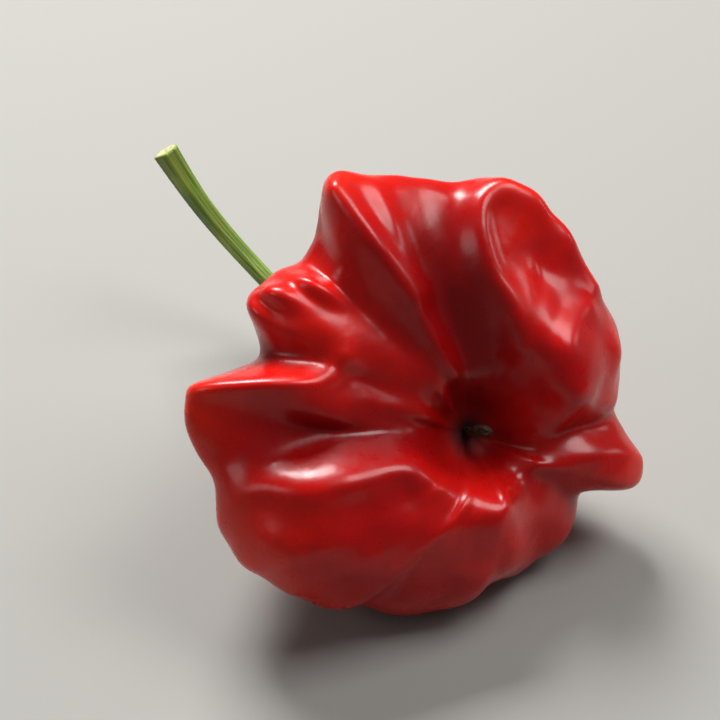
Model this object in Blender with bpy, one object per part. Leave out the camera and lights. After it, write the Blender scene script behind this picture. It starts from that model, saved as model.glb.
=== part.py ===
"""One starfish-shaped hot pepper, picked with its calyx and stalk, lying on two ribs of its flank.

The numbers below are millimetres and degrees in the pod's own frame: +z leaves the middle of the star face,
+y is the top of the star, and an azimuth turns from +x towards +y. The finished nodes are in metres, +Z up,
with the star face towards -Y and up.
"""
import math

import bmesh
import bpy
import numpy as np
from mathutils import Matrix, Vector

MM = 0.001
# the star face looks up by this much before the pod rolls onto its resting points
TILT = 32.0
# how deep each resting point is flattened
FLAT_DEPTH = 0.25
# the gap between two nodes that touch in the real thing
GAP = 0.4

# Fruit
FRUIT_ROWS = 52
FRUIT_COLUMNS = 100
# radius and forward reach of the outline that runs down a crease, from the stalk end to the pit
VALLEY = (
    (0.0, -22.6), (3.2, -22.6), (6.2, -22.3), (8.8, -20.4), (10.6, -17.2), (12.0, -13.4), (13.8, -9.6),
    (16.2, -6.0), (18.8, -2.4), (19.2, 1.2), (16.8, 3.8), (13.0, 4.8), (9.4, 4.4), (6.2, 3.2), (3.8, 1.4),
    (2.4, 0.2), (0.0, 0.0),
)
# the same outline over the top of a lobe
CREST = (
    (0.0, -22.6), (3.2, -22.6), (7.0, -22.9), (10.8, -21.6), (13.8, -17.8), (16.4, -13.6), (19.2, -9.6),
    (22.2, -6.2), (25.0, -3.2), (27.2, 0.8), (25.4, 5.0), (20.8, 8.2), (15.2, 9.4), (10.0, 8.4), (6.0, 5.6),
    (3.4, 1.2), (0.0, 0.0),
)
# the reach of a lobe that follows CREST as it stands
CREST_REACH = 25.5
# the pit is off the middle of the star
PIT = (4.7, -5.6)
# azimuth, reach and forward shift of the rim, where no crease pulls it in
RIM = (
    (0, 22.9, -0.4), (8, 23.1, 0.0), (18, 22.8, 0.2), (27, 22.6, 0.0), (36, 22.6, 0.2), (46, 23.5, 0.4),
    (56, 25.4, 0.5), (66, 27.4, 0.2), (76, 27.6, 0.0), (86, 26.2, -0.6), (96, 26.0, -0.8),
    (105, 28.2, -1.0), (112, 30.2, -1.4), (119, 17.6, -2.0), (124, 19.4, -2.0), (132, 22.2, -2.0),
    (142, 24.0, -2.0), (151, 22.0, -1.6), (158, 18.8, -1.2), (166, 28.8, -0.8), (174, 27.6, -0.4),
    (184, 27.5, 0.0), (197, 27.4, 0.2), (208, 27.6, 0.4), (220, 26.3, 0.2), (232, 25.9, 0.0),
    (244, 23.8, 0.0), (256, 23.8, 0.0), (268, 24.0, 0.1), (280, 22.6, 0.0), (292, 23.6, -0.5),
    (304, 24.4, -0.8), (318, 24.2, -0.8), (330, 28.4, -0.9), (339, 25.4, -0.8), (346, 24.0, -0.8),
    (353, 22.8, -0.6),
)
RIM_BLEND = 6.5
# where down the outline (0 stalk end, 1 pit) the rim's values take over from the flank's, and so on
FLANK_TO_RIM = (0.30, 0.50)
RIM_TO_FACE = (0.54, 0.68)
FACE_TO_PIT = (0.72, 0.88)
# creases start here, grow wider towards the flank by this share and never pass this half width in degrees
CREASE_START = (0.10, 0.34)
FLANK_WIDENING = 1.4
WIDENING_ENDS = (0.25, 0.62)
WIDEST = 40
# how flat the bottom of a pucker is
PUCKER_ROUNDNESS = 0.4
# the face slides to the off-centre pit from here to here
PIT_SLIDE = (0.5, 0.95)
# the unevenness fades in and out here
EVEN_START = (0.12, 0.28)
EVEN_END = (0.78, 0.92)
# degrees that the lifting direction still leans off +z, and where each part of them fades out
LEANS = ((60, 0.05, 0.25), (120, 0.35, 0.78))
# azimuths, then depths (1 reaches VALLEY), on the flank, at the rim, on the face and by the pit; then half
# width in mm and roundness of the bottom
CREASES = (
    ((206, 194, 181, 175), (0.25, 0.30, 0.95, 0.70), 2.0, 1.0),
    ((156, 158, 151, 143), (0.40, 1.00, 0.50, 0.00), 1.7, 0.5),
    ((118, 116, 124, 135), (0.45, 0.75, 0.25, 0.00), 2.0, 0.6),
    ((75, 76, 85, 80), (0.45, 0.50, 1.00, 0.90), 3.0, 1.3),
    ((349, 346, 342, 333), (0.25, 0.40, 0.60, 0.30), 2.0, 0.5),
    ((322, 320, 314, 305), (0.35, 0.45, 0.50, 0.40), 2.0, 0.6),
    ((288, 288, 297, 289), (0.25, 0.10, 0.35, 0.40), 2.4, 0.8),
)
# azimuth, start and end down the outline (0 stalk end, 1 pit), depth and half width of each short pucker
PUCKERS = (
    (272, 0.06, 0.50, 0.45, 3.8), (42, 0.28, 0.50, 0.30, 3.0), (138, 0.42, 0.60, 0.20, 1.8),
    (108, 0.16, 0.44, 0.25, 2.6), (200, 0.10, 0.34, 0.35, 2.6), (20, 0.10, 0.40, 0.30, 2.6),
    (172, 0.30, 0.52, 0.15, 2.2),
)
# azimuth, place down the outline, half width in mm, half length down the outline, height in mm
SWELLINGS = (
    (238, 0.80, 8.0, 0.060, 2.2), (205, 0.71, 5.5, 0.060, 1.6), (51, 0.67, 3.6, 0.050, -2.2),
    (112, 0.70, 4.0, 0.10, -0.4), (146, 0.58, 1.4, 0.028, 1.3), (138, 0.61, 1.5, 0.030, 1.6),
    (129, 0.62, 1.7, 0.032, 1.7), (120, 0.62, 1.7, 0.030, 1.3), (142, 0.61, 0.7, 0.034, -0.6),
    (133.5, 0.62, 0.8, 0.036, -0.7), (124.5, 0.62, 0.8, 0.034, -0.6),
    (177, 0.66, 4.0, 0.05, -0.6), (18, 0.75, 6.0, 0.055, 2.5), (40, 0.62, 1.8, 0.030, 0.5),
    (5, 0.64, 1.6, 0.025, 0.5),
)
# azimuth, place down the outline, half width in mm and height in mm along the crest of each fold
FOLDS = (
    ((205, 0.51, 2.6, 1.0), (196, 0.57, 3.2, 1.9), (190, 0.62, 3.4, 2.4), (192, 0.67, 3.3, 2.4),
     (194, 0.72, 3.2, 2.3), (192, 0.76, 3.0, 2.6), (192, 0.79, 2.8, 2.8), (198, 0.82, 2.8, 2.6),
     (212, 0.84, 2.9, 2.4), (230, 0.85, 3.2, 2.2), (249, 0.85, 3.4, 2.1), (264, 0.835, 3.4, 2.1),
     (275, 0.8, 3.2, 2.0), (280, 0.74, 3.0, 1.7), (284, 0.66, 3.0, 1.0)),
    ((147, 0.7, 1.7, 0.9), (153, 0.68, 1.7, 1.4), (159, 0.665, 1.6, 1.5), (164, 0.64, 1.6, 1.5),
     (167, 0.6, 1.6, 1.3), (168, 0.56, 1.6, 1.2), (170, 0.5, 1.7, 0.8)),
    ((109, 0.62, 1.7, 1.2), (108, 0.68, 1.7, 1.9), (107, 0.73, 1.7, 1.9), (105, 0.78, 1.7, 1.6),
     (103, 0.83, 1.7, 0.9)),
    ((98, 0.6, 1.5, 0.5), (99, 0.66, 1.5, 0.8), (100, 0.71, 1.5, 0.7)),
    ((52, 0.78, 1.8, 1.0), (61, 0.74, 1.8, 1.3), (68, 0.71, 1.8, 1.5), (72, 0.67, 1.8, 1.5),
     (72, 0.63, 1.8, 1.4), (68, 0.6, 1.8, 1.3), (60, 0.6, 1.8, 1.2), (50, 0.6, 1.8, 1.2),
     (38, 0.6, 1.8, 1.2), (26, 0.61, 1.8, 1.0)),
    ((386, 0.66, 1.6, 0.5), (390, 0.71, 1.6, 0.5), (387, 0.76, 1.6, 0.4)),
    ((380, 0.79, 1.6, 0.5), (366, 0.77, 1.6, 0.5), (359, 0.73, 1.6, 0.5)),
    ((322, 0.79, 1.7, 0.7), (332, 0.74, 1.7, 0.7), (337, 0.68, 1.7, 0.7), (335, 0.61, 1.7, 0.7)),
    ((250, 0.26, 3.2, 1.9), (249, 0.46, 3.2, 1.9)),
    ((298, 0.26, 3.2, 1.9), (297, 0.46, 3.2, 1.9)),
)
# points of each fold's spline per row above, and how often their places are averaged with their neighbours'
FOLD_STEPS = 6
FOLD_SOFTENING = 6
# height, size and seed of the soft unevenness all over the skin
UNEVEN = ((0.35, 14.0, 3), (0.05, 5.5, 8))

# Calyx
CALYX_ROWS_UNDER = 6
CALYX_COLUMNS = 60
CALYX_RADIUS = 4.5
TOOTH_LENGTH = 1.5
TOOTH_COUNT = 5
TOOTH_TURN = 0.6
# how far down the outline of the pod the cap can reach
SHOULDER_END = 0.2
# radius as a share of the edge and height over the pod, from the neck out to the rounded edge
CALYX_TOP = ((0.58, 1.55), (0.69, 1.30), (0.81, 1.12), (0.92, 0.98), (1.00, 0.75), (1.02, 0.52))
# radius and height over the pod of the neck and the socket that holds the stalk, from the socket's floor
NECK = (
    (1.50, 1.60), (1.78, 1.75), (1.86, 2.30), (1.90, 3.00), (2.06, 3.15), (2.22, 3.00), (2.32, 2.50),
    (2.46, 1.95),
)

# Stalk
STALK_COLUMNS = 25
STALK_ROWS = 30
STALK_PATH = (
    (0.0, 0.0, -24.65), (0.0, 0.4, -27.6), (-0.7, 2.6, -31.0), (-3.0, 7.2, -34.2), (-7.2, 13.6, -36.4),
    (-11.8, 20.8, -37.4), (-15.2, 28.2, -37.2),
)
STALK_RADII = (1.36, 1.30, 1.16, 1.08, 1.06, 1.10, 1.22, 1.55)
RIB_COUNT = 5
RIB_HEIGHT = 0.07

# Dried style in the pit
STYLE_COLUMNS = 16
STYLE_ROWS = 12
STYLE_PATH = ((0.0, 0.0, 0.55), (0.1, 0.1, 1.35), (0.3, 0.3, 2.3), (0.8, 0.4, 3.3), (1.2, 0.1, 4.2))
STYLE_RADII = (0.50, 0.56, 0.44, 0.48, 0.68, 0.48)
STYLE_RIDGE_COUNT = 3
STYLE_RIDGE_HEIGHT = 0.12

# Finishes: linear red, green and blue, roughness, clear coat
SKIN = ((0.42, 0.008, 0.004), 0.2, 0.5)
CALYX_GREEN = ((0.13, 0.21, 0.03), 0.5, 0.0)
STALK_GREEN = ((0.16, 0.27, 0.04), 0.5, 0.0)
DRIED_BROWN = ((0.03, 0.016, 0.008), 0.8, 0.0)


def clear_scene():
    for thing in list(bpy.data.objects):
        bpy.data.objects.remove(thing)


def spline(points, t):
    """A uniform cubic B-spline that starts and ends on its first and last points."""
    p = np.asarray(points, float)
    if p.ndim == 1:
        p = p[:, None]
    p = np.vstack([2 * p[0] - p[1], p, 2 * p[-1] - p[-2]])
    spans = len(points) - 1
    place = np.clip(t, 0, 1) * spans
    i = np.minimum(place.astype(int), spans - 1)
    f = (place - i)[..., None]
    weights = ((1 - f) ** 3, 3 * f**3 - 6 * f**2 + 4, -3 * f**3 + 3 * f**2 + 3 * f + 1, f**3)
    return sum(weights[k] * p[i + k] for k in range(4)) / 6


def smooth(x, low, high):
    """A soft step from 0 at low to 1 at high."""
    x = np.clip((x - low) / (high - low), 0, 1)
    return x * x * (3 - 2 * x)


def turn(a, b):
    """The chord between azimuths a and b on a circle of radius one, in degrees. It is near the angle between
    them when they are close, and has no jump on the far side. Its sign means nothing."""
    return np.degrees(2 * np.sin(np.radians(a - b) / 2))


def soft_valley(distance, half_width, rounding):
    """1 at the bottom of a valley whose sides rise steeply and whose bottom is rounded."""
    round_over = rounding * half_width
    return np.exp(-(np.sqrt(distance**2 + round_over**2) - round_over) / half_width)


def lumps(points, size, seed):
    """Soft unevenness of about that size: sine waves in seeded directions, added."""
    waves = 24
    rng = np.random.default_rng(seed)
    direction = rng.normal(size=(waves, 3))
    direction /= np.linalg.norm(direction, axis=1)[:, None]
    pitch = size * rng.uniform(0.75, 1.5, waves)
    phase = rng.uniform(0, 2 * np.pi, waves)
    total = sum(np.sin(points @ direction[k] * (2 * np.pi / pitch[k]) + phase[k]) for k in range(waves))
    return total / math.sqrt(waves / 2)


def rim_line(azimuth):
    """Means of RIM's reaches and of its forward shifts, weighted by a bell curve of the turn to each point."""
    bells = np.stack([np.exp(-((turn(azimuth, point[0]) / RIM_BLEND) ** 2)) for point in RIM])
    reach, shift = (np.tensordot([point[k] for point in RIM], bells, 1) / bells.sum(0) for k in (1, 2))
    return reach, shift


def stations(down, values):
    """The values at the flank, the rim, the face and by the pit, joined by soft steps."""
    flank, rim, face, pit = values
    value = flank + (rim - flank) * smooth(down, *FLANK_TO_RIM)
    return value + (face - rim) * smooth(down, *RIM_TO_FACE) + (pit - face) * smooth(down, *FACE_TO_PIT)


def crest_share(down, azimuth, radius):
    """One minus depth times a soft valley, multiplied over creases and puckers: 1 on a lobe, 0 in a crease."""
    share = np.ones(azimuth.shape)
    widening = 1 + FLANK_WIDENING * (1 - smooth(down, *WIDENING_ENDS))
    for path, depths, half, roundness in CREASES:
        width = np.minimum(np.degrees(half * widening / radius), WIDEST)
        valley = soft_valley(turn(azimuth, stations(down, path)), width, roundness)
        share *= 1 - stations(down, depths) * smooth(down, *CREASE_START) * valley
    for centre, start, end, depth, half in PUCKERS:
        valley = soft_valley(np.radians(turn(azimuth, centre)) * radius, half, PUCKER_ROUNDNESS)
        along = (down - (start + end) / 2) / ((end - start) / 2)
        share *= 1 - depth * valley * np.exp(-(along**4))
    return share


def grid_spots(p, azimuth, down):
    """The grid's points at azimuths and places down the outline: means of their four neighbours by nearness."""
    row, column = down * (p.shape[0] - 1), azimuth % 360 / 360 * (p.shape[1] - 1)
    i, j = row.astype(int), column.astype(int)
    u, v = (row - i)[:, None], (column - j)[:, None]
    above = (1 - v) * p[i, j] + v * p[i, j + 1]
    below = (1 - v) * p[i + 1, j] + v * p[i + 1, j + 1]
    return (1 - u) * above + u * below


def fold_rise(p, path):
    """The largest of height times a bell curve of the distance to each piece of a spline along the path."""
    azimuth, down, half, height = spline(path, np.linspace(0, 1, FOLD_STEPS * len(path))).T
    spots = grid_spots(p, azimuth, down)
    for _ in range(FOLD_SOFTENING):
        spots[1:-1] = (spots[:-2] + 2 * spots[1:-1] + spots[2:]) / 4
    rise = np.zeros(p.shape[:2])
    for k, (start, end) in enumerate(zip(spots, spots[1:])):
        step = end - start
        place = np.clip((p - start) @ step / (step @ step), 0, 1)
        away = ((p - start - place[..., None] * step) ** 2).sum(2)
        width = half[k] + (half[k + 1] - half[k]) * place
        rise = np.maximum(rise, (height[k] + (height[k + 1] - height[k]) * place) * np.exp(-away / width**2))
    return rise


def fruit_surface(rows, columns):
    """Blend of VALLEY and CREST by crest_share, stretched to rim_line, turned round z, then lifted by lumps,
    swellings, dents and folds along a direction that swings from the stalk end over the rim to the face."""
    down, azimuth = np.meshgrid(np.linspace(0, 1, rows), np.linspace(0, 360, columns + 1), indexing="ij")
    valley = spline(VALLEY, down)
    crest = spline(CREST, down)
    radius = np.maximum(valley[..., 0], 2.0)
    reach, shift = rim_line(azimuth)
    share = crest_share(down, azimuth, radius)
    valley_reach = max(point[0] for point in VALLEY)
    crest_reach = max(point[0] for point in CREST)
    spread = crest[..., 0] - valley[..., 0]
    r = valley[..., 0] + spread * (reach - valley_reach) / (CREST_REACH - valley_reach) * share
    rim = np.clip(spread / (crest_reach - valley_reach), 0, 1)
    z = valley[..., 1] + (crest[..., 1] - valley[..., 1]) * share + shift * rim
    off = smooth(down, *PIT_SLIDE)
    angle = np.radians(azimuth)
    p = np.stack([r * np.cos(angle) + PIT[0] * off, r * np.sin(angle) + PIT[1] * off, z], axis=2)
    quiet = smooth(down, *EVEN_START) * (1 - smooth(down, *EVEN_END))
    rise = sum(height * lumps(p, size, seed) for height, size, seed in UNEVEN) * quiet
    for centre, place, half, length, height in SWELLINGS:
        across = np.radians(turn(azimuth, centre)) * radius / half
        rise += height * np.exp(-(across**2) - ((down - place) / length) ** 2)
    for path in FOLDS:
        rise += fold_rise(p, path)
    lean = np.radians(sum(part * (1 - smooth(down, start, end)) for part, start, end in LEANS))
    out = np.stack([np.sin(lean) * np.cos(angle), np.sin(lean) * np.sin(angle), np.cos(lean)], axis=2)
    return p + out * rise[..., None]


def calyx_surface():
    """The calyx as a grid: from the socket's floor over the neck, out to the teeth and back underneath."""
    azimuth = np.linspace(0, 2 * np.pi, CALYX_COLUMNS + 1)
    tooth = (0.5 + 0.5 * np.cos(TOOTH_COUNT * azimuth + TOOTH_TURN)) ** 2
    edge = CALYX_RADIUS + TOOTH_LENGTH * tooth
    shoulder = spline(CREST, np.linspace(0, SHOULDER_END, 40))
    rings = [(np.zeros_like(edge), NECK[0][1])]
    rings += [(np.full_like(edge, radius), height) for radius, height in NECK]
    rings += [(share * edge, height) for share, height in CALYX_TOP]
    rings += [(edge * share, GAP) for share in np.linspace(0.98, 0, CALYX_ROWS_UNDER)]
    grid = []
    for radius, height in rings:
        z = np.interp(radius, shoulder[:, 0], shoulder[:, 1]) - height
        grid.append(np.stack([radius * np.cos(azimuth), radius * np.sin(azimuth), z], axis=1))
    return np.array(grid)


def tube_surface(path, radii, rows, columns, ribs, rib_height):
    """A tube with closed ends along a curved path, its radius following radii, with soft ribs along it."""
    t = np.linspace(0, 1, rows)
    centre = spline(path, t)
    tangent = np.gradient(centre, axis=0)
    tangent /= np.linalg.norm(tangent, axis=1)[:, None]
    radius = spline(radii, t)[:, 0]
    side = np.array([1.0, 0.0, 0.0])
    angle = np.linspace(0, 2 * np.pi, columns + 1)
    profile = 1 + rib_height * np.cos(ribs * angle)
    grid = [np.repeat(centre[:1], columns + 1, axis=0)]
    for point, along, r in zip(centre, tangent, radius):
        side = side - along * (side @ along)
        side /= np.linalg.norm(side)
        other = np.cross(along, side)
        ring = np.outer(np.cos(angle), side) + np.outer(np.sin(angle), other)
        grid.append(point + (r * profile)[:, None] * ring)
    grid.append(np.repeat(centre[-1:], columns + 1, axis=0))
    return np.array(grid)


def grid_mesh(name, grid, pose):
    """A closed mesh from a grid whose end rows are poles, placed by pose and turned into metres."""
    rows, columns = grid.shape[0], grid.shape[1] - 1
    body = grid[1:-1, :-1].reshape(-1, 3)
    points = np.vstack([grid[0, :-1].mean(axis=0), body, grid[-1, :-1].mean(axis=0)])
    start = np.arange(rows - 3)[:, None] * columns + 1
    here = np.arange(columns)[None, :]
    after = (here + 1) % columns
    quads = np.stack([start + here, start + after, start + columns + after, start + columns + here], axis=2)
    here, after, last = here[0], after[0], len(points) - 1
    near = np.stack([np.zeros_like(here), 1 + after, 1 + here], axis=1)
    ring = 1 + (rows - 3) * columns
    far = np.stack([np.full_like(here, last), ring + here, ring + after], axis=1)
    faces = quads.reshape(-1, 4).tolist() + near.tolist() + far.tolist()
    mesh = bpy.data.meshes.new(name)
    mesh.from_pydata([pose @ Vector(point) * MM for point in points.tolist()], [], faces)
    mesh.shade_smooth()
    return mesh


def weight_centre(mesh):
    """The centre of the closed mesh's volume."""
    mesh.calc_loop_triangles()
    volume, moment = 0.0, Vector((0, 0, 0))
    for triangle in mesh.loop_triangles:
        a, b, c = (mesh.vertices[i].co for i in triangle.vertices)
        share = a.dot(b.cross(c)) / 6
        volume += share
        moment += share * (a + b + c) / 4
    return moment / volume


def resting_turn(mesh):
    """The turn that rolls the mesh onto the hull facet under its weight that faces down the most."""
    hull = bmesh.new()
    for vertex in mesh.vertices:
        hull.verts.new(vertex.co)
    bmesh.ops.convex_hull(hull, input=hull.verts)
    centre = weight_centre(mesh)
    down = None
    for face in hull.faces:
        normal = face.normal.copy()
        if normal.dot(face.calc_center_median() - centre) < 0:
            normal.negate()
        foot = centre + normal * normal.dot(face.verts[0].co - centre)
        corners = [vertex.co for vertex in face.verts]
        turns = [(b - a).cross(foot - a).dot(normal) for a, b in zip(corners, corners[1:] + corners[:1])]
        stable = min(turns) > 0 or max(turns) < 0
        if stable and (down is None or normal.z < down.z):
            down = normal
    hull.free()
    return down.rotation_difference(Vector((0, 0, -1))).to_matrix()


def flatten_below(mesh):
    """Cuts the mesh at z = 0 and closes the cut with flat faces."""
    solid = bmesh.new()
    solid.from_mesh(mesh)
    parts = solid.verts[:] + solid.edges[:] + solid.faces[:]
    cut = bmesh.ops.bisect_plane(solid, geom=parts, plane_co=(0, 0, 0), plane_no=(0, 0, 1), clear_inner=True)
    loops = [item for item in cut["geom_cut"] if isinstance(item, bmesh.types.BMEdge)]
    filled = bmesh.ops.holes_fill(solid, edges=loops)
    bmesh.ops.recalc_face_normals(solid, faces=solid.faces)
    for face in filled["faces"]:
        face.smooth = False
    solid.to_mesh(mesh)
    solid.free()


def material(name, finish):
    color, roughness, coat = finish
    made = bpy.data.materials.new(name)
    made.use_nodes = True
    shader = made.node_tree.nodes["Principled BSDF"]
    shader.inputs["Base Color"].default_value = (*color, 1)
    shader.inputs["Roughness"].default_value = roughness
    shader.inputs["Coat Weight"].default_value = coat
    return made


def fruit(pose):
    """The fleshy pod: lobed star face with an off-centre pit, creased flank and rounded shoulder."""
    mesh = grid_mesh("fruit", fruit_surface(FRUIT_ROWS, FRUIT_COLUMNS), pose)
    mesh.materials.append(material("glossy_red_skin", SKIN))
    return mesh


def calyx(pose):
    """The green cap on the shoulder, with short teeth and a neck that holds the stalk."""
    mesh = grid_mesh("calyx", calyx_surface(), pose)
    mesh.materials.append(material("green_calyx", CALYX_GREEN))
    return mesh


def stalk(pose):
    """The slender stalk, ribbed, curved and wider at its cut end."""
    grid = tube_surface(STALK_PATH, STALK_RADII, STALK_ROWS, STALK_COLUMNS, RIB_COUNT, RIB_HEIGHT)
    mesh = grid_mesh("stalk", grid, pose)
    mesh.materials.append(material("green_stalk", STALK_GREEN))
    return mesh


def dried_style(pose):
    """The shrivelled remnant of the flower that stands in the pit."""
    path = [(x + PIT[0], y + PIT[1], z) for x, y, z in STYLE_PATH]
    grid = tube_surface(path, STYLE_RADII, STYLE_ROWS, STYLE_COLUMNS, STYLE_RIDGE_COUNT, STYLE_RIDGE_HEIGHT)
    mesh = grid_mesh("dried_style", grid, pose)
    mesh.materials.append(material("dried_style", DRIED_BROWN))
    return mesh


def build():
    clear_scene()
    tilt = math.radians(TILT)
    upright = Matrix(((1, 0, 0), (0, math.sin(tilt), -math.cos(tilt)), (0, math.cos(tilt), math.sin(tilt))))
    trial = grid_mesh("trial", fruit_surface(FRUIT_ROWS, FRUIT_COLUMNS), upright)
    pose = resting_turn(trial) @ upright
    bpy.data.meshes.remove(trial)
    meshes = [fruit(pose), calyx(pose), stalk(pose), dried_style(pose)]
    lowest = min(vertex.co.z for vertex in meshes[0].vertices)
    for mesh in meshes:
        mesh.transform(Matrix.Translation((0, 0, -lowest - FLAT_DEPTH * MM)))
    flatten_below(meshes[0])
    corners = np.array([vertex.co for mesh in meshes for vertex in mesh.vertices])
    middle = (corners.min(axis=0) + corners.max(axis=0)) / 2
    for mesh in meshes:
        mesh.transform(Matrix.Translation((-middle[0], -middle[1], 0)))
        bpy.context.scene.collection.objects.link(bpy.data.objects.new(mesh.name, mesh))


build()
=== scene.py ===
# %% [markdown]
# # A starfish pepper, picked and laid down
# This pepper is one hollow berry that grew into a star: a narrow bell at the stalk, a wide rim of uneven lobes,
# and a star face that sinks to a dark pit. The solid part is packed already. Here each of its nodes gets a finer
# skin of the same form, a finish, soft light and a camera. Lengths in the cells are millimetres in the pod's own
# frame, where +z leaves the middle of the star face, +y is the star's top and azimuths turn from +x towards +y.

import math

import bmesh
import bpy
import numpy as np
from mathutils import Matrix, Vector


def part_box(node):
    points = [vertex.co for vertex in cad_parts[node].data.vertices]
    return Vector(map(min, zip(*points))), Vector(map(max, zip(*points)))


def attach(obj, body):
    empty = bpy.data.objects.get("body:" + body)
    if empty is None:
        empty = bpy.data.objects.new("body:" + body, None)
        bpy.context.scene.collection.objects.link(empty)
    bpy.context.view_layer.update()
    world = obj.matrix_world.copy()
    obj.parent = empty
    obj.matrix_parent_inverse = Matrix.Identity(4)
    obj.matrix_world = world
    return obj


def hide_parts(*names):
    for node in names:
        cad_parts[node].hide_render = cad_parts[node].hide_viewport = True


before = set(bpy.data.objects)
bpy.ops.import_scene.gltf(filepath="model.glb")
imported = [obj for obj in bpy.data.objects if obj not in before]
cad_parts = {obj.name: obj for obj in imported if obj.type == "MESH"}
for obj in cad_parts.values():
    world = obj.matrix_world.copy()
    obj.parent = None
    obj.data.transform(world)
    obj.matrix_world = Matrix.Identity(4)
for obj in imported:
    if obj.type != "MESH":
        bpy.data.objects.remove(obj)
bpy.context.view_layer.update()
MM = 0.001

# %% [markdown]
# ## Smooth curves from few points
# The pod's outline is easiest to shape by a handful of points. A uniform cubic B-spline rounds them off: every
# point on it is a weighted mean of four neighbours, so it never kinks and never overshoots. Reflecting the second
# and the last but one point in the ends makes it start and stop exactly on them.

# %% Helpers for curves and soft steps
def spline(points, t):
    """Mean of the four control points around place t (0 to 1), weighted by the cubic B-spline's polynomials."""
    p = np.asarray(points, float)
    if p.ndim == 1:
        p = p[:, None]
    p = np.vstack([2 * p[0] - p[1], p, 2 * p[-1] - p[-2]])
    spans = len(points) - 1
    place = np.clip(t, 0, 1) * spans
    i = np.minimum(place.astype(int), spans - 1)
    f = (place - i)[..., None]
    weights = ((1 - f) ** 3, 3 * f**3 - 6 * f**2 + 4, -3 * f**3 + 3 * f**2 + 3 * f + 1, f**3)
    return sum(weights[k] * p[i + k] for k in range(4)) / 6


def smooth(x, low, high):
    """3x^2 - 2x^3 between low and high: 0 below low, 1 above high."""
    x = np.clip((x - low) / (high - low), 0, 1)
    return x * x * (3 - 2 * x)


def turn(a, b):
    """The chord between azimuths a and b on a circle of radius one, in degrees: near enough the angle between them
    when they are close, and without its jump on the far side. Its sign means nothing."""
    return np.degrees(2 * np.sin(np.radians(a - b) / 2))


def soft_valley(distance, half_width, rounding):
    """e to the minus distance over half width, with the sharp bottom rounded by a hyperbola."""
    round_over = rounding * half_width
    return np.exp(-(np.sqrt(distance**2 + round_over**2) - round_over) / half_width)


def lumps(points, size, seed):
    """Sum of 24 sine waves in seeded directions with pitches around size: soft unevenness without a pattern."""
    waves = 24
    rng = np.random.default_rng(seed)
    direction = rng.normal(size=(waves, 3))
    direction /= np.linalg.norm(direction, axis=1)[:, None]
    pitch = size * rng.uniform(0.75, 1.5, waves)
    phase = rng.uniform(0, 2 * np.pi, waves)
    total = sum(np.sin(points @ direction[k] * (2 * np.pi / pitch[k]) + phase[k]) for k in range(waves))
    return total / math.sqrt(waves / 2)


print("the spline's middle of (0, 1, 0):", spline((0, 1, 0), np.array(0.5)))

# %% [markdown]
# ## The two outlines of the pod
# Seen from the side, the pod's edge differs between a lobe and the crease beside it. So it gets two outlines, both
# as (distance from the axis, height along it) from the stalk end over the rim to the pit. One runs over the top of
# a lobe, the other down a crease. Everything between is a blend of the two.

# %% Outlines, lobes and creases
VALLEY = (
    (0.0, -22.6), (3.2, -22.6), (6.2, -22.3), (8.8, -20.4), (10.6, -17.2), (12.0, -13.4), (13.8, -9.6),
    (16.2, -6.0), (18.8, -2.4), (19.2, 1.2), (16.8, 3.8), (13.0, 4.8), (9.4, 4.4), (6.2, 3.2), (3.8, 1.4),
    (2.4, 0.2), (0.0, 0.0),
)
CREST = (
    (0.0, -22.6), (3.2, -22.6), (7.0, -22.9), (10.8, -21.6), (13.8, -17.8), (16.4, -13.6), (19.2, -9.6),
    (22.2, -6.2), (25.0, -3.2), (27.2, 0.8), (25.4, 5.0), (20.8, 8.2), (15.2, 9.4), (10.0, 8.4), (6.0, 5.6),
    (3.4, 1.2), (0.0, 0.0),
)
# how far out the CREST curve itself comes, as a spline cuts its corners
CREST_REACH = 25.5
# where the pit is, off the stalk's axis
PIT = (4.7, -5.6)
# azimuth, reach and forward shift of the rim, where no crease pulls it in
RIM = (
    (0, 22.9, -0.4), (8, 23.1, 0.0), (18, 22.8, 0.2), (27, 22.6, 0.0), (36, 22.6, 0.2), (46, 23.5, 0.4),
    (56, 25.4, 0.5), (66, 27.4, 0.2), (76, 27.6, 0.0), (86, 26.2, -0.6), (96, 26.0, -0.8),
    (105, 28.2, -1.0), (112, 30.2, -1.4), (119, 17.6, -2.0), (124, 19.4, -2.0), (132, 22.2, -2.0),
    (142, 24.0, -2.0), (151, 22.0, -1.6), (158, 18.8, -1.2), (166, 28.8, -0.8), (174, 27.6, -0.4),
    (184, 27.5, 0.0), (197, 27.4, 0.2), (208, 27.6, 0.4), (220, 26.3, 0.2), (232, 25.9, 0.0),
    (244, 23.8, 0.0), (256, 23.8, 0.0), (268, 24.0, 0.1), (280, 22.6, 0.0), (292, 23.6, -0.5),
    (304, 24.4, -0.8), (318, 24.2, -0.8), (330, 28.4, -0.9), (339, 25.4, -0.8), (346, 24.0, -0.8),
    (353, 22.8, -0.6),
)
# degrees over which a rim point fades into the next
RIM_BLEND = 6.5
# where down the outline (0 stalk end, 1 pit) one zone's values go over to the next one's
FLANK_TO_RIM = (0.30, 0.50)
RIM_TO_FACE = (0.54, 0.68)
FACE_TO_PIT = (0.72, 0.88)
# creases start here, grow wider towards the flank by this share and never pass this half width in degrees
CREASE_START = (0.10, 0.34)
FLANK_WIDENING = 1.4
WIDENING_ENDS = (0.25, 0.62)
WIDEST = 40
# widths along the ring are worked out at this radius or more
LEAST_RADIUS = 2.0
# how flat the bottom of a pucker is
PUCKER_ROUNDNESS = 0.4
# the face slides to the off-centre pit from here to here
PIT_SLIDE = (0.5, 0.95)
# the unevenness fades in and out here
EVEN_START = (0.12, 0.28)
EVEN_END = (0.78, 0.92)
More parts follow.
